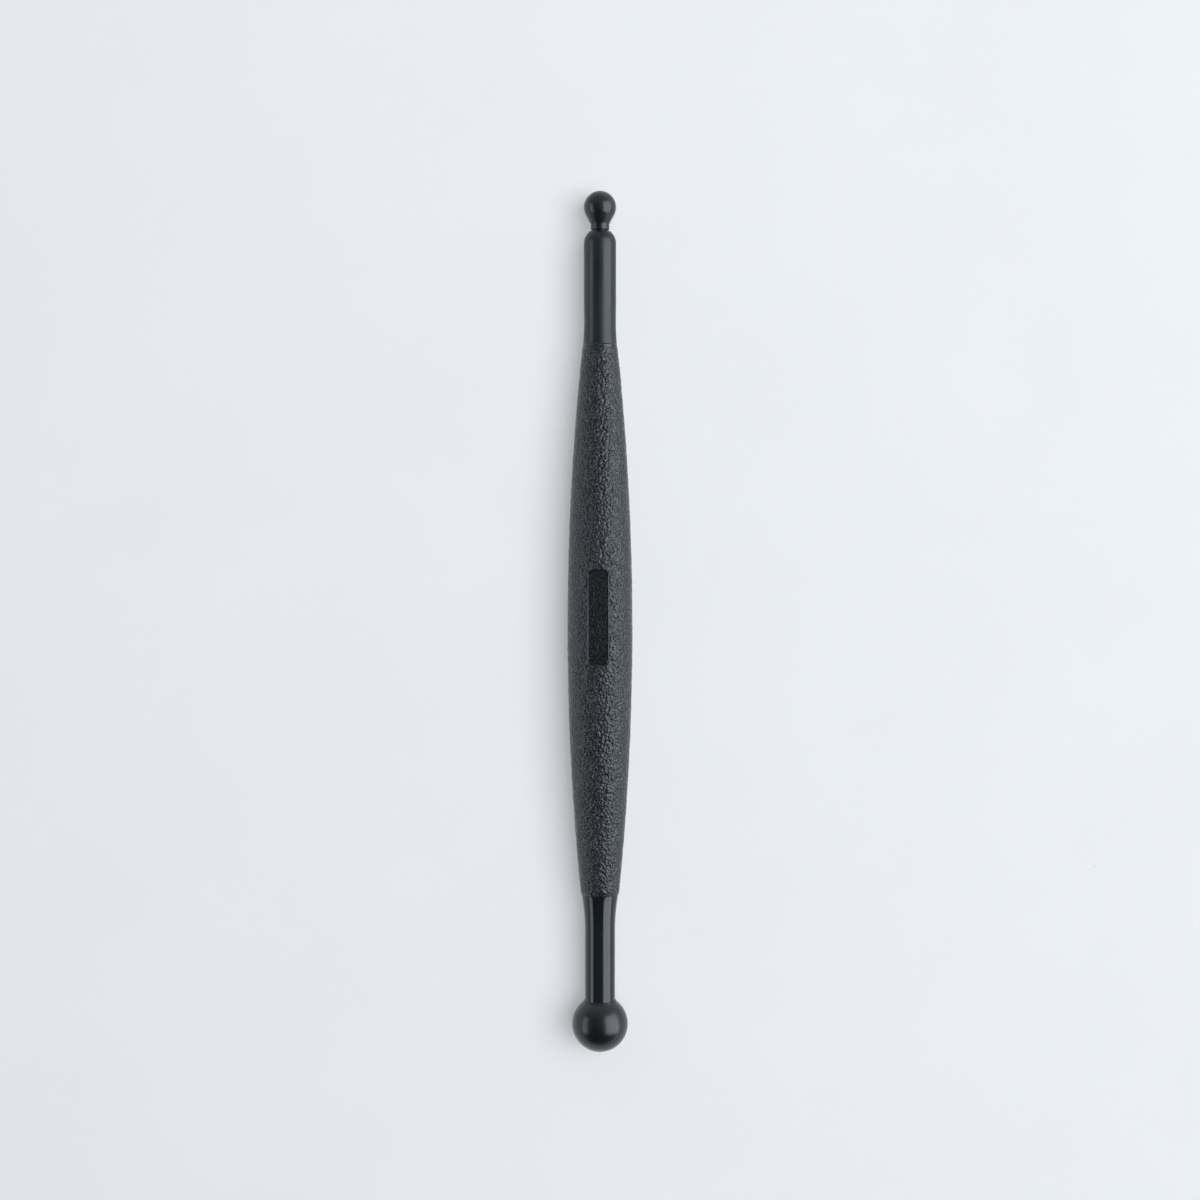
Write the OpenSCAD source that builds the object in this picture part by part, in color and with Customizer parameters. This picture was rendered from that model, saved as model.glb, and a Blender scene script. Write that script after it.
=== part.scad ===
// Double-ended embossing stylus, in millimetres.
// It lies along Y on a flat surface: the small ball points to +Y, the large ball to -Y,
// and the bare label panel of the grip faces up.
// Each piece is first built standing, turned about Z, with heights counted from the
// middle of the grip. The pieces of the large end are built the same way and flipped.

/* [Grip] */
// Length of the soft grip
grip_length = 100; // [90:1:110]
// Thickness of the grip at its widest place
grip_width = 11.75; // [11:0.05:13]
// Thickness of the grip where it meets the small stem
grip_end_width = 6.2; // [6.1:0.05:7]
// Distance of the widest place from the middle, towards the large ball
belly_shift = 1.7; // [0:0.1:4]
// Thickness of the soft skin over the core at the widest place
skin_thickness = 1.6; // [1.2:0.1:2]

/* [Label panel] */
// Length of the bare recessed panel
panel_length = 16.8; // [10:0.2:24]
// Width of the panel
panel_width = 3.35; // [2.5:0.05:4]
// Radius of the panel's corners
panel_corner = 0.9; // [0.3:0.1:1.2]
// Depth of the panel's flat floor below the top of the grip
panel_depth = 0.55; // [0.4:0.05:0.8]
// Distance of the panel from the middle of the grip, towards the small ball
panel_shift = 0.9; // [-10:0.1:10]

/* [Small end] */
// Diameter of the small ball
small_ball_d = 5.8; // [4:0.1:5.8]
// Diameter of the neck under the small ball
neck_d = 3.36; // [2.6:0.02:3.4]
// Length of the neck that shows
neck_length = 1.3; // [1:0.1:4]
// Lean of the ball's cone against the axis, in degrees
cone_lean = 28; // [25:1:40]
// Diameter of the straight part of the small stem
small_stem_d = 5.8; // [5.75:0.05:5.95]
// Length of the straight part
small_straight = 10.9; // [6:0.1:20]
// Diameter of the slight waist next to the grip
small_waist_d = 5.72; // [5.5:0.02:5.74]
// Radius of the rounded nose
nose_round = 2.75; // [2:0.05:2.85]

/* [Large end] */
// Diameter of the large ball
large_ball_d = 10.2; // [8:0.1:12]
// Diameter of the large stem
large_stem_d = 5.52; // [5:0.02:5.8]
// Length of the straight part of the large stem
large_straight = 12.9; // [8:0.1:24]
// Length of the flared root next to the grip
flare_length = 6.9; // [5:0.1:7]
// Radius of the flare's hollow side
flare_arc = 40; // [40:1:60]

/* [Core] */
// Diameter of the core at the end of the small stem
core_end_d = 4.6; // [4.4:0.1:4.8]
// Number of ring grooves that lock the skin lengthways
groove_count = 13; // [5:2:15]
// Width of a ring groove
groove_width = 2.4; // [1.5:0.1:2.5]
// Number of long slots that stop the skin from turning
slot_count = 4; // [2:1:6]
// Width of a long slot
slot_width = 1.5; // [1:0.1:1.8]
// Depth of the grooves and the slots
key_depth = 0.5; // [0.3:0.05:0.5]
// Depth of the sockets for the stems
socket_depth = 14; // [10:0.5:18]
// Diameter of the pegs on the stems
peg_d = 3; // [2.6:0.1:3]

/* [Hidden] */
$fn = 96;

// Room around a glued peg, and behind its end.
glue_gap = 0.03;
end_gap = 0.5;
// Chamfer that leads a peg into its hole.
lead = 0.4;

// The side of the grip is one long arc through its widest place and its small end.
half = grip_length / 2;
belly_r = grip_width / 2;
long_side = half + belly_shift;
grip_sag = belly_r - grip_end_width / 2;
grip_arc = (long_side * long_side + grip_sag * grip_sag) / (2 * grip_sag);

// The core follows the grip under a skin that thins out towards the ends.
core_r = belly_r - skin_thickness;
core_sag = core_r - core_end_d / 2;
core_arc = (long_side * long_side + core_sag * core_sag) / (2 * core_sag);

function arc_side(wide_r, arc, h) = wide_r - arc + sqrt(arc * arc - pow(h + belly_shift, 2));
function grip_side(h) = arc_side(belly_r, grip_arc, h);
function core_side(h) = arc_side(core_r, core_arc, h);

// The skin's edge is thinned at the small end and just broken at the large end.
thin_edge = 1.1;
thin_edge_drop = 0.13;
broken_edge = 0.1;
grip_steps = 16;

// Small end, from the grip outwards.
stem_r = small_stem_d / 2;
waist_r = small_waist_d / 2;
waist_arc = 50;
waist_h = half + 4.3;
straight_h = waist_h + 2.75;
shoulder_h = straight_h + small_straight;
neck_r = neck_d / 2;
bore_r = neck_r + glue_gap;
nose_land = 0.15;
nose_drop = bore_r + nose_land - (stem_r - nose_round);
nose_h = shoulder_h + sqrt(nose_round * nose_round - nose_drop * nose_drop);
ball_r = small_ball_d / 2;
cone_foot_h = nose_h + neck_length;
tangent_r = ball_r * cos(cone_lean);
tangent_h = cone_foot_h + (tangent_r - neck_r) / tan(cone_lean);
ball_h = tangent_h + ball_r * sin(cone_lean);
shank_length = 7;

// Large end, from the grip outwards. The stem stands on a small flat of the ball.
big_r = large_ball_d / 2;
big_stem_r = large_stem_d / 2;
seat_r = big_stem_r + 0.1;
flare_h = half + flare_length;
seat_h = flare_h + large_straight;
big_ball_h = seat_h + sqrt(big_r * big_r - seat_r * seat_r);
big_peg_length = 4.5;
peg_r = peg_d / 2;

// The whole tool is centred on the origin and rests on it.
small_tip = ball_h + ball_r;
large_tip = big_ball_h + big_r;
centre_h = (small_tip - large_tip) / 2;

// Lays down a piece that was built standing.
module laid() {
    translate([0, -centre_h, belly_r])
        rotate([-90, 0, 0])
            children();
}

// Turns a piece of the large end over, so that it points away from the small end.
module flipped() {
    mirror([0, 0, 1])
        children();
}

// A turned stretch that bulges along one arc, widest at wide_h.
module bulge(low, high, wide_r, wide_h, arc) {
    rotate_extrude()
        intersection() {
            translate([0, low])
                square([wide_r + 1, high - low]);
            translate([wide_r - arc, wide_h])
                circle(r = arc, $fn = 256);
        }
}

// A turned stretch whose side is hollowed along one arc, thinnest at its upper end.
module hollow(low, high, thin_r, arc) {
    rotate_extrude()
        difference() {
            translate([0, low])
                square([thin_r + 1, high - low]);
            translate([thin_r + arc, high])
                circle(r = arc, $fn = 256);
        }
}

// A round peg that points down from a height, with a chamfered end.
module peg(top, length, r) {
    translate([0, 0, top - length + lead])
        cylinder(r = r, h = length - lead);
    translate([0, 0, top - length])
        cylinder(r1 = r - lead, r2 = r, h = lead);
}

// The outside of the grip as one turned solid.
module grip_blank() {
    low = -half + broken_edge;
    high = half - thin_edge;
    side = [
        for (i = [0 : grip_steps])
            let (h = low + (high - low) * i / grip_steps)
                [grip_side(h), h]
    ];
    low_edge = [grip_side(low) - broken_edge, -half];
    high_edge = [grip_side(half) - thin_edge_drop + 0.08, half];
    rotate_extrude()
        polygon(concat([[0, -half], low_edge], side, [high_edge, [0, half]]));
}

// The core without its sockets: a turned spool whose lands follow the grip.
// With an extra stub past each end it also cuts the inside of the skin.
module core_blank(extra) {
    pitch = 2 * (half - 7) / (groove_count - 1);
    grooves = [
        for (i = [0 : groove_count - 1])
            let (
                h = -half + 7 + i * pitch,
                low = h - groove_width / 2,
                high = h + groove_width / 2,
                floor_r = core_side(h) - key_depth
            )
                each [[core_side(low), low], [floor_r, low], [floor_r, high], [core_side(high), high]]
    ];
    low_end = [[core_side(-half), -half]];
    high_end = [[core_side(half), half]];
    low_stub = extra > 0 ? [[core_side(-half), -half - extra]] : [];
    high_stub = extra > 0 ? [[core_side(half), half + extra]] : [];
    difference() {
        rotate_extrude()
            polygon(concat(
                [[0, -half - extra]],
                low_stub,
                low_end,
                grooves,
                high_end,
                high_stub,
                [[0, half + extra]]
            ));
        for (i = [0 : slot_count - 1])
            rotate([0, 0, (i + 0.5) * 360 / slot_count])
                key_slot();
    }
}

// One long slot, with a floor that follows the core's arc.
module key_slot() {
    reach = half - 11;
    intersection() {
        translate([0, -slot_width / 2, -reach])
            cube([belly_r, slot_width, 2 * reach]);
        difference() {
            cylinder(r = belly_r + 1, h = 4 * reach, center = true);
            bulge(-half, half, core_r - key_depth, -belly_shift, core_arc);
        }
    }
}

// The outline of the label panel, with round corners.
module panel_outline() {
    x = panel_width / 2 - panel_corner;
    y = panel_length / 2 - panel_corner;
    corners = [[x, y, 0], [-x, y, 90], [-x, -y, 180], [x, -y, 270]];
    polygon([
        for (c = corners)
            for (a = [0 : 15 : 90])
                [c[0] + panel_corner * cos(c[2] + a), c[1] + panel_corner * sin(c[2] + a)]
    ]);
}

// Soft skin moulded over the core, with the bare label panel sunk into its top.
module grip_skin() {
    color([0.20, 0.21, 0.22])
        difference() {
            laid()
                difference() {
                    grip_blank();
                    core_blank(1);
                }
            translate([0, panel_shift - centre_h, grip_width - panel_depth])
                linear_extrude(2)
                    panel_outline();
        }
}

// Stiff core inside the skin, with a blind socket for each stem.
module grip_core() {
    color([0.62, 0.63, 0.60])
        laid()
            difference() {
                core_blank(0);
                for (side = [0, 1])
                    mirror([0, 0, side])
                        translate([0, 0, half - socket_depth])
                            cylinder(r = peg_r + glue_gap, h = socket_depth + 1);
            }
}

// Satin stem of the small ball: flared root, straight part, round nose and blind bore.
module small_stem() {
    color([0.24, 0.25, 0.26])
        laid()
            difference() {
                union() {
                    peg(half, socket_depth - end_gap, peg_r);
                    hollow(half, waist_h, waist_r, waist_arc);
                    translate([0, 0, waist_h])
                        cylinder(r1 = waist_r, r2 = stem_r, h = straight_h - waist_h);
                    translate([0, 0, straight_h])
                        cylinder(r = stem_r, h = small_straight);
                    bulge(shoulder_h, nose_h, stem_r, shoulder_h, nose_round);
                }
                translate([0, 0, nose_h - shank_length - end_gap])
                    cylinder(r = bore_r, h = shank_length + end_gap + 1);
            }
}

// Small ball, drawn down to its neck by a cone that touches it all round, on a shank.
module small_ball() {
    color([0.16, 0.17, 0.18])
        laid() {
            peg(ball_h, ball_h - nose_h + shank_length, neck_r);
            translate([0, 0, cone_foot_h])
                cylinder(r1 = neck_r, r2 = tangent_r, h = tangent_h - cone_foot_h);
            bulge(tangent_h, small_tip + 1, ball_r, ball_h, ball_r);
        }
}

// Glossy stem of the large ball: flared root and straight part, with a peg at each end.
module large_stem() {
    color([0.13, 0.14, 0.16])
        laid()
            flipped() {
                peg(half, socket_depth - end_gap, peg_r);
                hollow(half, flare_h, big_stem_r, flare_arc);
                translate([0, 0, flare_h])
                    cylinder(r = big_stem_r, h = large_straight);
                translate([0, 0, 2 * seat_h])
                    mirror([0, 0, 1])
                        peg(seat_h, big_peg_length, peg_r);
            }
}

// Large ball, flattened where the stem seats and bored for the stem's peg.
module large_ball() {
    color([0.10, 0.11, 0.12])
        laid()
            flipped()
                difference() {
                    bulge(seat_h, large_tip + 1, big_r, big_ball_h, big_r);
                    translate([0, 0, seat_h - 1])
                        cylinder(r = peg_r + glue_gap, h = big_peg_length + end_gap + 1);
                }
}

grip_skin();
grip_core();
small_stem();
small_ball();
large_stem();
large_ball();
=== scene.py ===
"""Dressed model of a double-ended embossing stylus, in metres.

The tool lies along Y on a pale floor. The small ball points to +Y, the large ball to -Y,
and the bare label panel of the grip faces up.

Every new piece is turned. Its outline is drawn in millimetres, with X as the radius and Y
as the height over the middle of the grip, and spun about the Y axis. Only then is it scaled
to metres and laid at its place. The core keeps the frame's own mesh.
"""

import math

import bmesh
import bpy
from bpy.props import FloatProperty, FloatVectorProperty, PointerProperty
from mathutils import Matrix, Vector, noise


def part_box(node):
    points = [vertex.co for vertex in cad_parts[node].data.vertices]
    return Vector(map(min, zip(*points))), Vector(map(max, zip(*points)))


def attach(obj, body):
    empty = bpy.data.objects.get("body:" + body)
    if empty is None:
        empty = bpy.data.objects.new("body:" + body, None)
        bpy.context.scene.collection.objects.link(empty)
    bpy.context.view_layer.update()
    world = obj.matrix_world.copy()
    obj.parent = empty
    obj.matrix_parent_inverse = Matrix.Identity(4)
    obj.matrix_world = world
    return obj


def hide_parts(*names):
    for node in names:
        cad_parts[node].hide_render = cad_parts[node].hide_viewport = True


bl_info = {
    "name": "Embossing Stylus",
    "version": (1, 0, 0),
    "blender": (4, 5, 0),
    "location": "View3D > Sidebar > Stylus",
    "description": "Builds the grip, stems and balls of an embossing stylus around its frame",
    "category": "Object",
}

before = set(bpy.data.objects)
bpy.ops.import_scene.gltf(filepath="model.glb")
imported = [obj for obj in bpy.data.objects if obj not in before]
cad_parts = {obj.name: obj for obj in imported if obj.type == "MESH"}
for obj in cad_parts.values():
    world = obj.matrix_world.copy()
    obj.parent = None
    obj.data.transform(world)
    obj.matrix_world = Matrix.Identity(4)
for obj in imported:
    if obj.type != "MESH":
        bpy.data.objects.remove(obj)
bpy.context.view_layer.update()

# Millimetres to metres. Sizes are in millimetres unless their comment says otherwise.
MM = 0.001

# Half the length of the grip, and the place of its middle along Y, in metres.
SKIN_LOW, SKIN_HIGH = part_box("grip_skin")
HALF = (SKIN_HIGH.y - SKIN_LOW.y) / 2 / MM
MIDDLE = (SKIN_HIGH.y + SKIN_LOW.y) / 2

# The soft skin of the grip. Its widest place lies below its middle by the shift.
BELLY_R = 5.875
BELLY_SHIFT = 1.7
GRIP_END_R = 3.1
FEATHER = 1.1
FEATHER_DROP = 0.05
LOW_EDGE_ROUND = 0.12
GRIP_ARC_STEPS = 400

# The stiff core and its grooves, which the ribs inside the skin fill.
CORE_R = 4.275
CORE_END_R = 2.3
CORE_GAP = 0.02
GROOVES = 13
GROOVE_MARGIN = 7
GROOVE_WIDTH = 2.4
KEY_DEPTH = 0.5

# The bare panel in the top of the grip.
PANEL_LENGTH = 16.8
PANEL_WIDTH = 3.35
PANEL_CORNER = 0.9
PANEL_DEPTH = 0.55
PANEL_SHIFT = 0.9
RIM_DROP = 0.9

# How the panel's outline is cut into the faces round it: one cut for each direction in a
# rounded corner. A cut takes the faces in its own wedge, and runs a little past its ends.
PANEL_ANGLES = [math.radians(15 * i) for i in range(7)]
WEDGE = math.radians(16)
SIDE_OVERLAP = 0.3
CORNER_OVERLAP = 0.2
END_OVERLAP = 0.5
TOP_HEIGHT = 5.0
PANEL_SURROUNDS = 0.8

# Where the grain starts and fades, and the coarse bumps that the mesh itself carries.
# The place of the broad noise keeps it apart from the coarse one.
PANEL_GRAIN = 0.2
WALL_MARGIN = 0.25
END_FACING = 0.5
LOW_BARE = 0.15
LOW_FADE = 0.5
HIGH_LEAST = 0.25
HIGH_FADE = 2.0
RIM_FADE = 0.1
COARSE_SIZE = 0.5
COARSE_HEIGHT = 1.2
BROAD_SIZE = 1.7
BROAD_HEIGHT = 0.8
BROAD_PLACE = Vector((9.1, 4.3, 7.7))

# The small stem, from the grip outwards.
WAIST_R = 2.86
WAIST_H = 54.3
WAIST_ARC = 50.0
SMALL_STEM_R = 2.9
STRAIGHT_H = 57.05
SHOULDER_H = 67.95
NOSE_R = 2.75
NOSE_FLAT = 0.15
NOSE_ROUND_MOST = 0.14

# The small ball, its neck and the shank in the nose. The groove at the foot of the neck
# is a list of steps: how far inside the neck, how high over the nose, and its cuts.
NECK_R = 1.68
NECK_LENGTH = 1.3
NECK_ROUND = 0.35
NECK_GROOVE = 0.42
NECK_STEPS = (
    (0.0, -0.5, 12),
    (NECK_GROOVE, -0.4, 1),
    (NECK_GROOVE, 0.2, 1),
    (0.08, 0.25, 2),
    (0.0, 0.38, 1),
)
SMALL_BALL_R = 2.9
CONE_LEAN = math.radians(28)
SHANK = 7.0

# The large stem, from the grip outwards.
LARGE_STEM_R = 2.76
FLARE = 6.9
FLARE_ARC = 40.0
LARGE_STRAIGHT = 12.9
SEAT_EDGE = 0.1
SEAT_ROUND_MOST = 0.08
LARGE_PEG = 4.5

# The large ball, and the thin collar with which it closes round the stem.
LARGE_BALL_R = 5.1
SEAT_R = 2.86
COLLAR = 0.22
COLLAR_R = LARGE_STEM_R + 0.12
COLLAR_ROUND = 0.05
COLLAR_REACH = math.radians(4)

# Pegs of the stems, and the room around what is glued.
PEG_R = 1.5
PEG_LENGTH = 13.5
GLUE_GAP = 0.03
END_GAP = 0.5
LEAD = 0.4

# Steps of a turned piece, all the way round.
GRIP_STEPS = 200
STEM_STEPS = 128
LARGE_BALL_STEPS = 160
FLOOR_STEPS = 96

# Points closer than MERGE become one. Points within TOUCH or NEAR of a place lie on it.
MERGE = 0.0005
TOUCH = 1e-4
NEAR = 1e-3

# Edges that turn more than this are shaded sharp.
SHARP = math.radians(50)
GRIP_SHARP = math.radians(55)


def long_arc(wide_r, end_r):
    """Radius of the arc that runs along the grip from its widest place to its top end."""
    reach = HALF + BELLY_SHIFT
    sag = wide_r - end_r
    return (reach * reach + sag * sag) / (2 * sag)


def arc_side(wide_r, end_r, h):
    """How far from the axis that arc lies at a height."""
    arc = long_arc(wide_r, end_r)
    return wide_r - arc + math.sqrt(arc * arc - (h + BELLY_SHIFT) ** 2)


# Settings


class StylusGripSettings(bpy.types.PropertyGroup):
    """Sizes and colour of the soft grip."""

    grain_size: FloatProperty(
        name="Grain size",
        description="Width of one bump of the moulded grain",
        default=0.36 * MM,
        min=0.1 * MM,
        precision=5,
        subtype="DISTANCE",
    )
    grain_depth: FloatProperty(
        name="Grain depth",
        description="Height of the fine grain",
        default=0.18 * MM,
        min=0.0,
        precision=5,
        subtype="DISTANCE",
    )
    swell: FloatProperty(
        name="Swell",
        description="Height of the coarse bumps that show at the outline",
        default=0.05 * MM,
        min=0.0,
        precision=5,
        subtype="DISTANCE",
    )
    rim: FloatProperty(
        name="Panel rim",
        description="Width of the broken edge round the label panel",
        default=0.2 * MM,
        min=0.02 * MM,
        precision=5,
        subtype="DISTANCE",
    )
    colour: FloatVectorProperty(
        name="Grip colour",
        description="Colour of the soft rubber",
        default=(0.0085, 0.0100, 0.0110),
        min=0.0,
        max=1.0,
        subtype="COLOR",
    )


class StylusEndSettings(bpy.types.PropertyGroup):
    """Edges and colours of the stems, the balls and the core."""

    edge_round: FloatProperty(
        name="Edge round",
        description="Round on the turned edges of the stems",
        default=0.1 * MM,
        min=0.01 * MM,
        precision=5,
        subtype="DISTANCE",
    )
    satin_colour: FloatVectorProperty(
        name="Satin colour",
        description="Colour of the satin small stem",
        default=(0.0100, 0.0125, 0.0142),
        min=0.0,
        max=1.0,
        subtype="COLOR",
    )
    gloss_colour: FloatVectorProperty(
        name="Gloss colour",
        description="Colour of the glossy large stem",
        default=(0.0110, 0.0118, 0.0126),
        min=0.0,
        max=1.0,
        subtype="COLOR",
    )
    ball_colour: FloatVectorProperty(
        name="Ball colour",
        description="Colour of the two balls",
        default=(0.0066, 0.0068, 0.0068),
        min=0.0,
        max=1.0,
        subtype="COLOR",
    )
    core_colour: FloatVectorProperty(
        name="Core colour",
        description="Colour of the hidden stiff core",
        default=(0.34, 0.35, 0.33),
        min=0.0,
        max=1.0,
        subtype="COLOR",
    )


class StylusStageSettings(bpy.types.PropertyGroup):
    """Floor and lamps."""

    floor_colour: FloatVectorProperty(
        name="Floor colour",
        description="Colour of the pale floor",
        default=(0.950, 0.900, 0.836),
        min=0.0,
        max=1.0,
        subtype="COLOR",
    )
    backdrop_colour: FloatVectorProperty(
        name="Backdrop colour",
        description="Colour that the floor fades to far from the tool",
        default=(0.820, 0.815, 0.870),
        min=0.0,
        max=1.0,
        subtype="COLOR",
    )
    lamp_colour: FloatVectorProperty(
        name="Lamp colour",
        description="Cool tint of the soft lamps",
        default=(0.88, 1.0, 1.13),
        min=0.0,
        max=2.0,
        subtype="COLOR",
    )
    floor_size: FloatProperty(
        name="Floor size",
        description="Radius of the flat floor",
        default=3.0,
        min=0.5,
        subtype="DISTANCE",
    )
    top_power: FloatProperty(
        name="Top lamp",
        description="Power of the lamp overhead that lights the floor and makes the shadow",
        default=15.1,
        min=0.0,
        subtype="POWER",
    )
    right_power: FloatProperty(
        name="Right lamp",
        description="Power of the large soft lamp that the gloss shows on the right",
        default=17.1,
        min=0.0,
        subtype="POWER",
    )
    left_power: FloatProperty(
        name="Left lamp",
        description="Power of the low soft lamp that the gloss shows on the left",
        default=3.0,
        min=0.0,
        subtype="POWER",
    )
    far_power: FloatProperty(
        name="Far lamp",
        description="Power of the dim lamp past the small end",
        default=0.6,
        min=0.0,
        subtype="POWER",
    )


# Turned shapes


class Outline:
    """Half of a turned shape, drawn as a wire: X is the radius, Y the height."""

    def __init__(self, r, h):
        self.mesh = bmesh.new()
        self.tip = self.mesh.verts.new((r, h, 0.0))

    def line(self, r, h, cuts=0):
        """Draws a straight stretch to a new point, in equal steps."""
        start, end = self.tip.co.copy(), Vector((r, h, 0.0))
        for i in range(cuts + 1):
            drawn = bmesh.ops.extrude_vert_indiv(self.mesh, verts=[self.tip])
            self.tip = drawn["verts"][0]
            self.tip.co = start.lerp(end, (i + 1) / (cuts + 1))

    def arc(self, r, h, turn, steps):
        """Draws an arc round the centre (r, h); a positive turn runs anticlockwise."""
        drawn = bmesh.ops.spin(
            self.mesh,
            geom=[self.tip],
            cent=(r, h, 0.0),
            axis=(0.0, 0.0, 1.0),
            angle=turn,
            steps=steps,
        )
        self.tip = [v for v in drawn["geom_last"] if isinstance(v, bmesh.types.BMVert)][0]


def turned(outline, steps):
    """Spins an outline all the way round the Y axis and closes its seam and poles."""
    mesh = outline.mesh
    bmesh.ops.spin(
        mesh,
        geom=mesh.verts[:] + mesh.edges[:],
        cent=(0.0, 0.0, 0.0),
        axis=(0.0, 1.0, 0.0),
        angle=2 * math.pi,
        steps=steps,
        use_merge=True,
    )
    bmesh.ops.remove_doubles(mesh, verts=mesh.verts[:], dist=MERGE)
    bmesh.ops.recalc_face_normals(mesh, faces=mesh.faces[:])
    return mesh


def round_rings(mesh, rings, width, segments=3):
    """Rounds the circular edges that lie at the given (radius, height) corners."""
    chosen = []
    for edge in mesh.edges:
        a, b = (vert.co for vert in edge.verts)
        if abs(a.y - b.y) > TOUCH:
            continue
        r = math.hypot(a.x, a.z)
        if any(abs(a.y - h) < NEAR and abs(r - ring_r) < NEAR for ring_r, h in rings):
            chosen.append(edge)
    bmesh.ops.bevel(
        mesh,
        geom=chosen,
        offset=width,
        offset_type="OFFSET",
        segments=segments,
        profile=0.5,
        affect="EDGES",
        material=-1,
        clamp_overlap=True,
    )


def laid_piece(mesh, name, node, material, sharp=SHARP):
    """Lays a turned mesh at its place, in metres, and makes it a piece that rides there."""
    for face in mesh.faces:
        face.smooth = True
    for edge in mesh.edges:
        if edge.calc_face_angle(0.0) > sharp:
            edge.smooth = False
    bmesh.ops.scale(mesh, vec=(MM, MM, MM), verts=mesh.verts[:])
    bmesh.ops.translate(mesh, vec=(0.0, MIDDLE, BELLY_R * MM), verts=mesh.verts[:])
    piece = new_object(mesh, name)
    piece.data.materials.append(material)
    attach(piece, "root")
    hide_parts(node)
    return piece


def new_object(mesh, name):
    """Puts a finished mesh into the scene as an object."""
    data = bpy.data.meshes.new(name)
    mesh.to_mesh(data)
    mesh.free()
    made = bpy.data.objects.new(name, data)
    bpy.context.scene.collection.objects.link(made)
    return made


# Grip


def panel_distance(x, y):
    """Signed distance to the edge of the label panel, seen from above; negative inside."""
    dx = abs(x) - (PANEL_WIDTH / 2 - PANEL_CORNER)
    dy = abs(y - PANEL_SHIFT) - (PANEL_LENGTH / 2 - PANEL_CORNER)
    reach = max(math.cos(a) * dx + math.sin(a) * dy for a in PANEL_ANGLES)
    return reach - PANEL_CORNER


def cut_faces(mesh, near, chosen, point, normal):
    """Cuts the chosen faces with a plane and returns the faces near the panel again."""
    rest = [face for face in near if face not in chosen]
    geom = set(chosen)
    for face in chosen:
        geom.update(face.edges)
        geom.update(face.verts)
    cut = bmesh.ops.bisect_plane(
        mesh, geom=list(geom), dist=TOUCH, plane_co=point, plane_no=normal
    )
    return rest + [part for part in cut["geom"] if isinstance(part, bmesh.types.BMFace)]


def in_wedge(dx, dy, angle):
    """Whether a face belongs to the cut at this angle, by its place from the corner."""
    if angle == PANEL_ANGLES[0] and dy < SIDE_OVERLAP:
        return dy > -PANEL_LENGTH / 2 - END_OVERLAP and dx > 0
    if angle == PANEL_ANGLES[-1] and dx < SIDE_OVERLAP:
        return dx > -PANEL_WIDTH / 2 and dy > 0
    in_corner = dx > -CORNER_OVERLAP and dy > -CORNER_OVERLAP
    return in_corner and abs(math.atan2(dy, dx) - angle) < WEDGE


def cut_panel_outline(mesh, near, offset):
    """Cuts the panel's outline, grown by an offset, into the faces near the panel."""
    for turn_x in (1, -1):
        for turn_y in (1, -1):
            corner = Vector((
                turn_x * (PANEL_WIDTH / 2 - PANEL_CORNER),
                PANEL_SHIFT + turn_y * (PANEL_LENGTH / 2 - PANEL_CORNER),
                0.0,
            ))
            for angle in PANEL_ANGLES:
                normal = Vector((turn_x * math.cos(angle), turn_y * math.sin(angle), 0.0))
                chosen = set()
                for face in near:
                    away = face.calc_center_median() - corner
                    if in_wedge(turn_x * away.x, turn_y * away.y, angle):
                        chosen.add(face)
                point = corner + normal * (PANEL_CORNER + offset)
                near = cut_faces(mesh, near, chosen, point, normal)
    return near


def sink_panel(mesh, rim):
    """Sinks the bare panel into the top of the grip, with a broken edge round it."""
    near = [
        face
        for face in mesh.faces
        if face.calc_center_median().z > TOP_HEIGHT
        and panel_distance(*face.calc_center_median().xy) < PANEL_SURROUNDS
    ]
    near = cut_panel_outline(mesh, near, rim)
    near = cut_panel_outline(mesh, near, 0.0)
    inside = [face for face in near if panel_distance(*face.calc_center_median().xy) < -TOUCH]
    sunk = bmesh.ops.extrude_face_region(mesh, geom=inside)["geom"]
    bmesh.ops.delete(mesh, geom=inside, context="FACES")
    floor_verts = {part for part in sunk if isinstance(part, bmesh.types.BMVert)}
    for vert in floor_verts:
        vert.co.z = BELLY_R - PANEL_DEPTH
    for vert in {vert for face in near if face.is_valid for vert in face.verts}:
        if vert not in floor_verts and abs(panel_distance(vert.co.x, vert.co.y)) < 2 * NEAR:
            vert.co.z -= rim * RIM_DROP


def grain_share(co, normal, rim):
    """How much grain a point carries: none at the ends and inside, a trace on the panel."""
    on_floor = abs(co.z - BELLY_R + PANEL_DEPTH) < TOUCH
    if on_floor and panel_distance(co.x, co.y) < -TOUCH:
        return PANEL_GRAIN
    r = math.hypot(co.x, co.z)
    inner_wall = r < arc_side(BELLY_R, GRIP_END_R, co.y) - WALL_MARGIN
    if inner_wall or abs(normal.y) > END_FACING:
        return 0.0
    lower = min(1.0, max(0.0, (co.y + HALF - LOW_BARE) / LOW_FADE))
    upper = min(1.0, max(HIGH_LEAST, (HALF - co.y) / HIGH_FADE))
    share = min(lower, upper)
    if co.z > TOP_HEIGHT:
        away = panel_distance(co.x, co.y)
        share *= min(1.0, max(0.0, (away - rim) / RIM_FADE))
    return share


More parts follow.
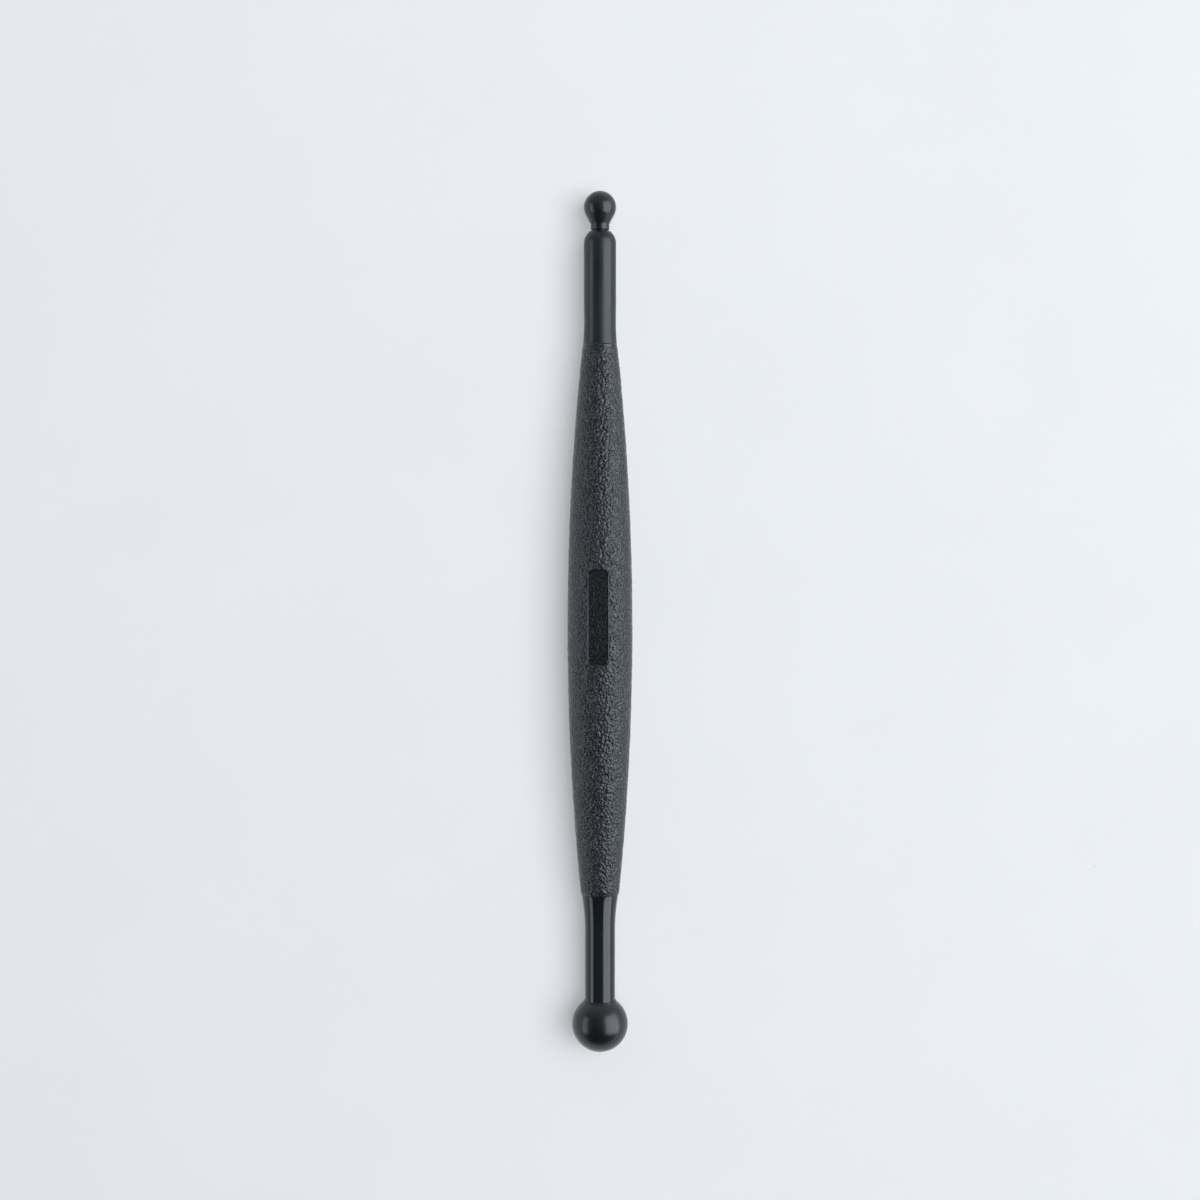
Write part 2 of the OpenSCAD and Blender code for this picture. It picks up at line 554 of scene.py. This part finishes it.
class STYLUS_OT_grip(bpy.types.Operator):
    """Builds the soft grip with its grain and its bare label panel"""

    bl_idname = "stylus.grip"
    bl_label = "Grip"

    def execute(self, context):
        values = context.scene.stylus_grip
        rim = values.rim / MM
        mesh = turned(self.outline(), GRIP_STEPS)
        round_rings(mesh, [(self.low_r, -HALF)], LOW_EDGE_ROUND)
        sink_panel(mesh, rim)
        self.raise_grain(mesh, values.swell / MM, rim)
        laid_piece(mesh, "grip", "grip_skin", rubber_finish(values), GRIP_SHARP)
        return {"FINISHED"}

    @property
    def low_r(self):
        """Radius of the grip at its end towards the large ball."""
        return arc_side(BELLY_R, GRIP_END_R, -HALF)

    def outline(self):
        """The wall of the skin: long arc outside, ribs that fill the core's grooves inside."""
        arc = long_arc(BELLY_R, GRIP_END_R)
        low = math.asin((-HALF + BELLY_SHIFT) / arc)
        high = math.asin((HALF - FEATHER + BELLY_SHIFT) / arc)
        wall = Outline(self.core_wall(-HALF), -HALF)
        wall.line(self.low_r, -HALF, cuts=2)
        wall.arc(BELLY_R - arc, -BELLY_SHIFT, high - low, GRIP_ARC_STEPS)
        wall.line(arc_side(BELLY_R, GRIP_END_R, HALF) - FEATHER_DROP, HALF, cuts=4)
        wall.line(self.core_wall(HALF), HALF)
        pitch = 2 * (HALF - GROOVE_MARGIN) / (GROOVES - 1)
        for i in reversed(range(GROOVES)):
            middle = -HALF + GROOVE_MARGIN + i * pitch
            high_h = middle + GROOVE_WIDTH / 2
            low_h = middle - GROOVE_WIDTH / 2
            rib_r = self.core_wall(middle) - KEY_DEPTH
            wall.line(self.core_wall(high_h), high_h - CORE_GAP)
            wall.line(rib_r, high_h - CORE_GAP)
            wall.line(rib_r, low_h + CORE_GAP)
            wall.line(self.core_wall(low_h), low_h + CORE_GAP)
        wall.line(self.core_wall(-HALF), -HALF)
        return wall

    def core_wall(self, h):
        """Inside of the skin, a hair outside the core."""
        return arc_side(CORE_R, CORE_END_R, h) + CORE_GAP

    def raise_grain(self, mesh, swell, rim):
        """Moves the outside of the grip in and out by a coarse noise, and keeps the share."""
        share_layer = mesh.verts.layers.float.new("grain")
        mesh.normal_update()
        for vert in mesh.verts:
            share = grain_share(vert.co, vert.normal, rim)
            vert[share_layer] = share
            if share > PANEL_GRAIN:
                coarse = noise.noise(vert.co / COARSE_SIZE)
                broad = noise.noise(vert.co / BROAD_SIZE + BROAD_PLACE)
                height = coarse * COARSE_HEIGHT + broad * BROAD_HEIGHT
                vert.co += vert.normal * share * swell * height
                vert.co.z = max(vert.co.z, -BELLY_R)


class STYLUS_OT_core(bpy.types.Operator):
    """Finishes the grooved core, which stays the frame's own piece"""

    bl_idname = "stylus.core"
    bl_label = "Core"

    def execute(self, context):
        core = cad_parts["grip_core"]
        core.data.materials.clear()
        core.data.materials.append(core_finish(context.scene.stylus_ends))
        return {"FINISHED"}


# Ends


class STYLUS_OT_small_end(bpy.types.Operator):
    """Builds the satin small stem and the small ball on its shank"""

    bl_idname = "stylus.small_end"
    bl_label = "Small end"

    def execute(self, context):
        values = context.scene.stylus_ends
        bore_r = NECK_R + GLUE_GAP
        nose_centre_r = SMALL_STEM_R - NOSE_R
        across = bore_r + NOSE_FLAT - nose_centre_r
        nose_h = SHOULDER_H + math.sqrt(NOSE_R ** 2 - across ** 2)

        stem = Outline(0.0, HALF - PEG_LENGTH)
        stem.line(PEG_R - LEAD, HALF - PEG_LENGTH)
        stem.line(PEG_R, HALF - PEG_LENGTH + LEAD)
        stem.line(PEG_R, HALF, cuts=8)
        root = math.asin((WAIST_H - HALF) / WAIST_ARC)
        root_r = WAIST_R + WAIST_ARC - WAIST_ARC * math.cos(root)
        stem.line(root_r, HALF)
        stem.arc(WAIST_R + WAIST_ARC, WAIST_H, -root, steps=24)
        stem.line(SMALL_STEM_R, STRAIGHT_H, cuts=10)
        stem.line(SMALL_STEM_R, SHOULDER_H, cuts=30)
        stem.arc(nose_centre_r, SHOULDER_H, math.acos(across / NOSE_R), steps=32)
        stem.line(bore_r, nose_h, cuts=1)
        stem.line(bore_r, nose_h - SHANK - END_GAP, cuts=8)
        stem.line(0.0, nose_h - SHANK - END_GAP)
        mesh = turned(stem, STEM_STEPS)
        round_rings(mesh, [(bore_r, nose_h)], min(values.edge_round / MM, NOSE_ROUND_MOST))
        laid_piece(mesh, "small_stem_satin", "small_stem", satin_finish(values))

        neck_top = nose_h + NECK_LENGTH
        tangent_r = SMALL_BALL_R * math.cos(CONE_LEAN)
        tangent_h = neck_top + (tangent_r - NECK_R) / math.tan(CONE_LEAN)
        ball_h = tangent_h + SMALL_BALL_R * math.sin(CONE_LEAN)
        ball = Outline(0.0, nose_h - SHANK)
        ball.line(NECK_R - LEAD, nose_h - SHANK)
        ball.line(NECK_R, nose_h - SHANK + LEAD)
        for depth, rise, cuts in NECK_STEPS:
            ball.line(NECK_R - depth, nose_h + rise, cuts)
        ball.line(NECK_R, neck_top, cuts=6)
        ball.line(tangent_r, tangent_h, cuts=8)
        ball.arc(0.0, ball_h, math.pi / 2 + CONE_LEAN, steps=64)
        mesh = turned(ball, STEM_STEPS)
        round_rings(mesh, [(NECK_R, neck_top)], NECK_ROUND, segments=5)
        material = ball_finish(values, roughness=0.4)
        laid_piece(mesh, "small_ball_tip", "small_ball", material)
        return {"FINISHED"}


class STYLUS_OT_large_end(bpy.types.Operator):
    """Builds the glossy large stem and the large ball seated on it"""

    bl_idname = "stylus.large_end"
    bl_label = "Large end"

    def execute(self, context):
        values = context.scene.stylus_ends
        flare_h = -HALF - FLARE
        seat_h = flare_h - LARGE_STRAIGHT
        ball_h = seat_h - math.sqrt(LARGE_BALL_R ** 2 - SEAT_R ** 2)

        stem = Outline(0.0, -HALF + PEG_LENGTH)
        stem.line(PEG_R - LEAD, -HALF + PEG_LENGTH)
        stem.line(PEG_R, -HALF + PEG_LENGTH - LEAD)
        stem.line(PEG_R, -HALF, cuts=8)
        root = math.asin(FLARE / FLARE_ARC)
        root_r = LARGE_STEM_R + FLARE_ARC - FLARE_ARC * math.cos(root)
        stem.line(root_r, -HALF)
        stem.arc(LARGE_STEM_R + FLARE_ARC, flare_h, root, steps=32)
        stem.line(LARGE_STEM_R, seat_h + SEAT_EDGE, cuts=40)
        stem.line(LARGE_STEM_R, seat_h)
        stem.line(PEG_R, seat_h)
        stem.line(PEG_R, seat_h - LARGE_PEG + LEAD, cuts=4)
        stem.line(PEG_R - LEAD, seat_h - LARGE_PEG)
        stem.line(0.0, seat_h - LARGE_PEG)
        mesh = turned(stem, STEM_STEPS)
        edge_round = min(values.edge_round / MM, SEAT_ROUND_MOST)
        round_rings(mesh, [(LARGE_STEM_R, seat_h)], edge_round)
        laid_piece(mesh, "large_stem_gloss", "large_stem", gloss_finish(values))

        bore_r = PEG_R + GLUE_GAP
        bore_h = seat_h - LARGE_PEG - END_GAP
        collar_h = seat_h + COLLAR
        meet = math.asin(SEAT_R / LARGE_BALL_R) + COLLAR_REACH
        ball = Outline(0.0, bore_h)
        ball.line(bore_r, bore_h)
        ball.line(bore_r, seat_h, cuts=4)
        ball.line(LARGE_STEM_R + GLUE_GAP, seat_h)
        ball.line(LARGE_STEM_R + GLUE_GAP, collar_h)
        ball.line(COLLAR_R, collar_h)
        meet_h = ball_h + LARGE_BALL_R * math.cos(meet)
        ball.line(LARGE_BALL_R * math.sin(meet), meet_h, cuts=3)
        ball.arc(0.0, ball_h, meet - math.pi, steps=96)
        mesh = turned(ball, LARGE_BALL_STEPS)
        round_rings(mesh, [(COLLAR_R, collar_h)], COLLAR_ROUND)
        material = ball_finish(values, roughness=0.36)
        laid_piece(mesh, "large_ball_gloss", "large_ball", material)
        return {"FINISHED"}


# Shader nodes

NUMBER = "NodeSocketFloat"
COLOUR = "NodeSocketColor"
VECTOR = "NodeSocketVector"


def add_node(tree, kind, **values):
    """Adds a node and sets its plain properties."""
    node = tree.nodes.new(kind)
    for name, value in values.items():
        setattr(node, name, value)
    return node


def feed(tree, source, target):
    """Joins an output socket to an input socket, or sets a plain value."""
    if isinstance(source, bpy.types.NodeSocket):
        tree.links.new(source, target)
    else:
        target.default_value = source


def maths(tree, operation, a, b=0.0, clamp=False):
    """A Math node with two inputs."""
    node = add_node(tree, "ShaderNodeMath", operation=operation, use_clamp=clamp)
    feed(tree, a, node.inputs[0])
    feed(tree, b, node.inputs[1])
    return node.outputs[0]


def mapped(tree, value, from_low, from_high, to_low=0.0, to_high=1.0):
    """A smooth Map Range node."""
    node = add_node(tree, "ShaderNodeMapRange", interpolation_type="SMOOTHSTEP")
    for socket, number in zip(node.inputs[:5], (value, from_low, from_high, to_low, to_high)):
        feed(tree, number, socket)
    return node.outputs["Result"]


def scaled(tree, vector, factor):
    """A Vector Math node that scales a vector or a colour."""
    node = add_node(tree, "ShaderNodeVectorMath", operation="SCALE")
    feed(tree, vector, node.inputs[0])
    feed(tree, factor, node.inputs["Scale"])
    return node.outputs[0]


def blended(tree, share, a, b):
    """A colour Mix node."""
    node = add_node(tree, "ShaderNodeMix", data_type="RGBA")
    feed(tree, share, node.inputs["Factor"])
    feed(tree, a, node.inputs["A"])
    feed(tree, b, node.inputs["B"])
    return node.outputs["Result"]


def soft_noise(tree, vector, scale, detail, roughness=0.5, distortion=0.0):
    """A Noise Texture node's grey output."""
    node = add_node(tree, "ShaderNodeTexNoise")
    feed(tree, vector, node.inputs["Vector"])
    feed(tree, scale, node.inputs["Scale"])
    node.inputs["Detail"].default_value = detail
    node.inputs["Roughness"].default_value = roughness
    node.inputs["Distortion"].default_value = distortion
    return node.outputs["Fac"]


def bumped(tree, height, distance):
    """A Bump node's normal."""
    node = add_node(tree, "ShaderNodeBump")
    node.inputs["Distance"].default_value = distance
    feed(tree, height, node.inputs["Height"])
    return node.outputs["Normal"]


def new_group(name, inputs, outputs):
    """Starts a shader node group with named sockets, or gives the one already made."""
    tree = bpy.data.node_groups.get(name)
    if tree:
        return tree, None, None
    tree = bpy.data.node_groups.new(name, "ShaderNodeTree")
    for label, kind in inputs:
        tree.interface.new_socket(name=label, in_out="INPUT", socket_type=kind)
    for label, kind in outputs:
        tree.interface.new_socket(name=label, in_out="OUTPUT", socket_type=kind)
    return tree, add_node(tree, "NodeGroupInput"), add_node(tree, "NodeGroupOutput")


def placed(tree, group, **values):
    """Places a node group and feeds its named inputs."""
    node = add_node(tree, "ShaderNodeGroup", node_tree=group)
    for label, value in values.items():
        feed(tree, value, node.inputs[label])
    return node


def four(rgb):
    """An RGB colour with a full alpha."""
    return (rgb[0], rgb[1], rgb[2], 1.0)


# Effects

# The grain: how near its middle value the noise makes a wrinkle, the values between which
# it rises out of a pit, how much wider apart the lumps lie, and the height of each.
WRINKLE_WIDTH = 0.08
WRINKLE_HEIGHT = 0.25
PIT_RANGE = (0.34, 0.60)
PIT_HEIGHT = 0.5
LUMP_SCALE = 0.75
LUMP_HEIGHT = 1.65

# Cells of the dust pattern whose random number is below this hold no speck.
EMPTY_CELLS = 0.45


def grain_group():
    """Bumps of an eroded mould: rounded pebbles with wrinkles running between them."""
    tree, given, made = new_group(
        "Moulded grain", [("Vector", VECTOR), ("Size", NUMBER)], [("Height", NUMBER)]
    )
    if given:
        place = given.outputs["Vector"]
        scale = maths(tree, "DIVIDE", 1.0, given.outputs["Size"])
        folds = soft_noise(tree, place, scale, detail=0.4, roughness=0.5, distortion=0.4)
        away = maths(tree, "ABSOLUTE", maths(tree, "SUBTRACT", folds, 0.5))
        ridge = mapped(tree, away, 0.0, WRINKLE_WIDTH)
        wrinkle = maths(tree, "MULTIPLY", ridge, WRINKLE_HEIGHT)
        pits = maths(tree, "MULTIPLY", mapped(tree, folds, *PIT_RANGE), PIT_HEIGHT)
        broad = maths(tree, "MULTIPLY", scale, LUMP_SCALE)
        lumps = soft_noise(tree, place, broad, detail=0.0)
        fine = maths(tree, "ADD", wrinkle, pits)
        height = maths(tree, "ADD", fine, maths(tree, "MULTIPLY", lumps, LUMP_HEIGHT))
        feed(tree, height, made.inputs["Height"])
    return tree


def drift_group():
    """Slow changes of tone over a surface, with a finer mottle on them."""
    tree, given, made = new_group(
        "Tone drift",
        [("Vector", VECTOR), ("Colour", COLOUR), ("Amount", NUMBER), ("Size", NUMBER)],
        [("Colour", COLOUR), ("Drift", NUMBER)],
    )
    if given:
        scale = maths(tree, "DIVIDE", 1.0, given.outputs["Size"])
        slow = soft_noise(tree, given.outputs["Vector"], scale, detail=3.0, roughness=0.55)
        drift = mapped(tree, slow, from_low=0.3, from_high=0.7, to_low=-1.0, to_high=1.0)
        change = maths(tree, "MULTIPLY", drift, given.outputs["Amount"])
        factor = maths(tree, "ADD", change, 1.0)
        feed(tree, scaled(tree, given.outputs["Colour"], factor), made.inputs["Colour"])
        feed(tree, drift, made.inputs["Drift"])
    return tree


def dust_group():
    """Sparse specks of lint and dust that lie on a surface."""
    tree, given, made = new_group(
        "Dust specks",
        [("Vector", VECTOR), ("Spacing", NUMBER), ("Speck", NUMBER)],
        [("Mask", NUMBER)],
    )
    if given:
        scale = maths(tree, "DIVIDE", 1.0, given.outputs["Spacing"])
        cells = add_node(tree, "ShaderNodeTexVoronoi", feature="F1")
        feed(tree, given.outputs["Vector"], cells.inputs["Vector"])
        feed(tree, scale, cells.inputs["Scale"])
        away = maths(tree, "MULTIPLY", cells.outputs["Distance"], given.outputs["Spacing"])
        parts = add_node(tree, "ShaderNodeSeparateColor")
        feed(tree, cells.outputs["Color"], parts.inputs[0])
        size = maths(tree, "MULTIPLY", given.outputs["Speck"], parts.outputs["Red"])
        spot = maths(tree, "SUBTRACT", 1.0, maths(tree, "DIVIDE", away, size), clamp=True)
        kept = maths(tree, "GREATER_THAN", parts.outputs["Green"], EMPTY_CELLS)
        feed(tree, maths(tree, "MULTIPLY", spot, kept), made.inputs["Mask"])
    return tree


# Materials. Sizes of patterns and heights of bumps are in metres here, as nodes read them.

RUBBER_DUST = (0.30, 0.31, 0.32, 1.0)
PLASTIC_DUST = (0.25, 0.26, 0.27, 1.0)
FLOOR_SPECKS = (0.12, 0.11, 0.10, 1.0)

# How much the roughness of plastic drifts, as a share of it, and what dust adds to it.
GLOSS_DRIFT = 0.12
DUST_ROUGHNESS = 0.5


def new_finish(name):
    """A material with its Principled shader and the object's own coordinates."""
    material = bpy.data.materials.new(name)
    material.use_nodes = True
    tree = material.node_tree
    shader = tree.nodes["Principled BSDF"]
    place = add_node(tree, "ShaderNodeTexCoord").outputs["Object"]
    return material, tree, shader, place


def rubber_finish(values):
    """Soft black rubber with a moulded grain, darker in its pits by painted shade and paler
    where it stands proud.
    """
    material, tree, shader, place = new_finish("Soft rubber")
    tone = placed(
        tree, drift_group(), Vector=place, Colour=four(values.colour), Amount=0.14, Size=0.012
    )
    grain = placed(tree, grain_group(), Vector=place, Size=values.grain_size)
    share = add_node(tree, "ShaderNodeAttribute", attribute_name="grain")
    height = maths(tree, "MULTIPLY", grain.outputs["Height"], share.outputs["Fac"])
    # Painted shade: the colour is darkened in the pits of the grain, where shade falls, and
    # made paler on its peaks.
    pit_shade_and_wear = mapped(
        tree, grain.outputs["Height"], from_low=0.6, from_high=1.6, to_low=0.5, to_high=1.3
    )
    shaded = scaled(tree, tone.outputs["Colour"], pit_shade_and_wear)
    dust = placed(tree, dust_group(), Vector=place, Spacing=0.0045, Speck=0.00016)
    dusty = blended(tree, dust.outputs["Mask"], shaded, RUBBER_DUST)
    feed(tree, dusty, shader.inputs["Base Color"])
    rough = mapped(
        tree, tone.outputs["Drift"], from_low=-1.0, from_high=1.0, to_low=0.20, to_high=0.25
    )
    feed(tree, rough, shader.inputs["Roughness"])
    shader.inputs["Specular IOR Level"].default_value = 0.57
    feed(tree, bumped(tree, height, distance=values.grain_depth), shader.inputs["Normal"])
    return material


def plastic_finish(name, tint, roughness, ripple, amount=0.10, specular=0.42):
    """Moulded plastic: a faint ripple, drifting gloss and a little dull dust."""
    material, tree, shader, place = new_finish(name)
    tone = placed(
        tree, drift_group(), Vector=place, Colour=four(tint), Amount=amount, Size=0.006
    )
    dust = placed(tree, dust_group(), Vector=place, Spacing=0.0035, Speck=0.00011)
    dusty = blended(tree, dust.outputs["Mask"], tone.outputs["Colour"], PLASTIC_DUST)
    feed(tree, dusty, shader.inputs["Base Color"])
    low, high = roughness * (1 - GLOSS_DRIFT), roughness * (1 + GLOSS_DRIFT)
    rough = mapped(tree, tone.outputs["Drift"], -1.0, 1.0, low, high)
    dull = maths(tree, "MULTIPLY", dust.outputs["Mask"], DUST_ROUGHNESS)
    feed(tree, maths(tree, "ADD", rough, dull), shader.inputs["Roughness"])
    shader.inputs["Specular IOR Level"].default_value = specular
    waves = soft_noise(tree, place, scale=900.0, detail=1.0)
    feed(tree, bumped(tree, waves, distance=ripple), shader.inputs["Normal"])
    return material


def satin_finish(values):
    """Satin black plastic of the small stem."""
    return plastic_finish("Satin plastic", values.satin_colour, 0.36, ripple=0.000003)


def gloss_finish(values):
    """Polished black plastic of the large stem."""
    return plastic_finish("Gloss plastic", values.gloss_colour, 0.12, ripple=0.0000006)


def ball_finish(values, roughness):
    """Black plastic of a ball: a polished top over a duller body."""
    material = plastic_finish(
        "Ball plastic", values.ball_colour, roughness, ripple=0.0000015, specular=0.24
    )
    shader = material.node_tree.nodes["Principled BSDF"]
    shader.inputs["Coat Weight"].default_value = 0.5
    shader.inputs["Coat Roughness"].default_value = 0.22
    return material


def core_finish(values):
    """Unpainted stiff plastic of the core."""
    return plastic_finish("Core plastic", values.core_colour, 0.5, ripple=0.000004, amount=0.05)


def floor_finish(values):
    """Pale paper. To the eye and in gloss it fades to one plain colour far from the tool."""
    material, tree, shader, place = new_finish("Pale paper")
    tone = placed(
        tree,
        drift_group(),
        Vector=place,
        Colour=four(values.floor_colour),
        Amount=0.010,
        Size=0.03,
    )
    specks = placed(tree, dust_group(), Vector=place, Spacing=0.021, Speck=0.00042)
    paper = blended(tree, specks.outputs["Mask"], tone.outputs["Colour"], FLOOR_SPECKS)
    feed(tree, paper, shader.inputs["Base Color"])
    shader.inputs["Roughness"].default_value = 0.85
    shader.inputs["Specular IOR Level"].default_value = 0.2
    tooth = soft_noise(tree, place, scale=700.0, detail=1.0)
    feed(tree, bumped(tree, tooth, distance=0.00002), shader.inputs["Normal"])

    far = add_node(tree, "ShaderNodeVectorMath", operation="LENGTH")
    feed(tree, place, far.inputs[0])
    share = mapped(
        tree, far.outputs["Value"], from_low=0.28, from_high=0.75, to_low=0.33, to_high=1.0
    )
    ray = add_node(tree, "ShaderNodeLightPath")
    seen = maths(tree, "MAXIMUM", ray.outputs["Is Camera Ray"], ray.outputs["Is Glossy Ray"])
    plain = add_node(tree, "ShaderNodeEmission")
    plain.inputs["Color"].default_value = four(values.backdrop_colour)
    mixed = add_node(tree, "ShaderNodeMixShader")
    feed(tree, maths(tree, "MULTIPLY", share, seen), mixed.inputs[0])
    feed(tree, shader.outputs[0], mixed.inputs[1])
    feed(tree, plain.outputs[0], mixed.inputs[2])
    feed(tree, mixed.outputs[0], tree.nodes["Material Output"].inputs["Surface"])
    return material


# Stage. Places, sizes and distances are in metres.

# Each lamp's place, and its width and depth.
TOP_LAMP = ((0.488, 0.06, 1.096), (0.9, 1.07))
RIGHT_LAMP = ((0.797, 0.033, 0.517), (1.31, 1.07))
LEFT_LAMP = ((-0.84, -0.06, 0.435), (0.98, 0.40))
FAR_LAMP = ((0.0, 0.50, 0.30), (1.0, 0.48))

CAMERA_PLACE = (0.01944, 0.02461, 0.37677)
CAMERA_TURN = (math.radians(-3.07), math.radians(3.0), 0.0)
SENSOR_WIDTH = 36.0
FOCAL_LENGTH = 61.5
CLIP_START = 0.01


class STYLUS_OT_stage(bpy.types.Operator):
    """Lays the pale floor and sets the lamps, the world and the camera"""

    bl_idname = "stylus.stage"
    bl_label = "Stage"

    def execute(self, context):
        values = context.scene.stylus_stage
        self.floor(values)
        self.lamps(values)
        self.world(context, values)
        self.camera(context)
        context.scene.view_settings.view_transform = "Standard"
        return {"FINISHED"}

    def floor(self, values):
        """A flat round floor."""
        outline = Outline(0.0, 0.0)
        outline.line(values.floor_size, 0.0, cuts=40)
        mesh = turned(outline, FLOOR_STEPS)
        bmesh.ops.rotate(
            mesh,
            cent=(0.0, 0.0, 0.0),
            matrix=Matrix.Rotation(math.pi / 2, 3, "X"),
            verts=mesh.verts[:],
        )
        floor = new_object(mesh, "floor")
        floor.data.materials.append(floor_finish(values))

    def lamps(self, values):
        """Four soft lamps.

        The top lamp lights the floor and makes the tight shadow, but no highlight. The side
        lamps show only in the gloss of the tool. The dim far lamp does both.
        """
        tint = values.lamp_colour
        top = self.lamp("top_lamp", *TOP_LAMP, values.top_power, tint)
        top.visible_glossy = False
        right = self.lamp("right_lamp", *RIGHT_LAMP, values.right_power, tint)
        right.visible_diffuse = False
        left = self.lamp("left_lamp", *LEFT_LAMP, values.left_power, tint)
        left.visible_diffuse = False
        self.lamp("far_lamp", *FAR_LAMP, values.far_power, tint)

    def lamp(self, name, place, size, watts, tint):
        """A rectangular soft lamp that faces the tool and isn't seen itself."""
        light = bpy.data.lights.new(name, "AREA")
        light.shape = "RECTANGLE"
        light.size, light.size_y = size
        light.energy = watts
        light.color = tint
        lamp = bpy.data.objects.new(name, light)
        lamp.location = place
        lamp.rotation_euler = Vector(place).to_track_quat("Z", "Y").to_euler()
        lamp.visible_camera = False
        bpy.context.scene.collection.objects.link(lamp)
        return lamp

    def world(self, context, values):
        """A dim room, pale at the horizon and darkest on the side of the large ball."""
        world = bpy.data.worlds.new("Dim room")
        world.use_nodes = True
        tree = world.node_tree
        parts = add_node(tree, "ShaderNodeSeparateXYZ")
        feed(tree, add_node(tree, "ShaderNodeTexCoord").outputs["Generated"], parts.inputs[0])
        dim = mapped(
            tree, parts.outputs["Y"], from_low=-0.6, from_high=0.5, to_low=0.02, to_high=0.12
        )
        horizon = mapped(
            tree, parts.outputs["Z"], from_low=0.08, from_high=0.26, to_low=1.0, to_high=0.0
        )
        room = add_node(tree, "ShaderNodeCombineColor")
        for socket in room.inputs[:3]:
            feed(tree, dim, socket)
        sky = blended(tree, horizon, room.outputs[0], four(values.backdrop_colour))
        feed(tree, sky, tree.nodes["Background"].inputs["Color"])
        context.scene.world = world

    def camera(self, context):
        """Looks down at the middle of the tool, from three degrees towards +X and +Y."""
        lens = bpy.data.cameras.new("camera")
        lens.sensor_width = SENSOR_WIDTH
        lens.lens = FOCAL_LENGTH
        lens.clip_start = CLIP_START
        camera = bpy.data.objects.new("camera", lens)
        camera.location = CAMERA_PLACE
        camera.rotation_euler = CAMERA_TURN
        bpy.context.scene.collection.objects.link(camera)
        context.scene.camera = camera


# Sidebar and registration


class STYLUS_PT_panel(bpy.types.Panel):
    """Lists the settings and the building steps in the sidebar"""

    bl_label = "Embossing Stylus"
    bl_idname = "STYLUS_PT_panel"
    bl_space_type = "VIEW_3D"
    bl_region_type = "UI"
    bl_category = "Stylus"

    def draw(self, context):
        layout = self.layout
        for group in SETTINGS:
            values = getattr(context.scene, group)
            box = layout.box()
            for name in values.bl_rna.properties.keys():
                if name not in ("rna_type", "name"):
                    box.prop(values, name)
        for operator in OPERATORS:
            layout.operator(operator.bl_idname)


SETTINGS = {
    "stylus_grip": StylusGripSettings,
    "stylus_ends": StylusEndSettings,
    "stylus_stage": StylusStageSettings,
}
OPERATORS = (
    STYLUS_OT_grip,
    STYLUS_OT_core,
    STYLUS_OT_small_end,
    STYLUS_OT_large_end,
    STYLUS_OT_stage,
)
CLASSES = (*SETTINGS.values(), *OPERATORS, STYLUS_PT_panel)


def register():
    """Makes the classes known to Blender and hangs the settings on the scene."""
    for kind in CLASSES:
        bpy.utils.register_class(kind)
    for name, kind in SETTINGS.items():
        setattr(bpy.types.Scene, name, PointerProperty(type=kind))


def unregister():
    """Takes the settings and the classes away again."""
    for name in SETTINGS:
        delattr(bpy.types.Scene, name)
    for kind in reversed(CLASSES):
        bpy.utils.unregister_class(kind)


def main():
    """Builds every piece and the stage."""
    register()
    bpy.ops.stylus.grip()
    bpy.ops.stylus.core()
    bpy.ops.stylus.small_end()
    bpy.ops.stylus.large_end()
    bpy.ops.stylus.stage()


if __name__ == "__main__":
    main()
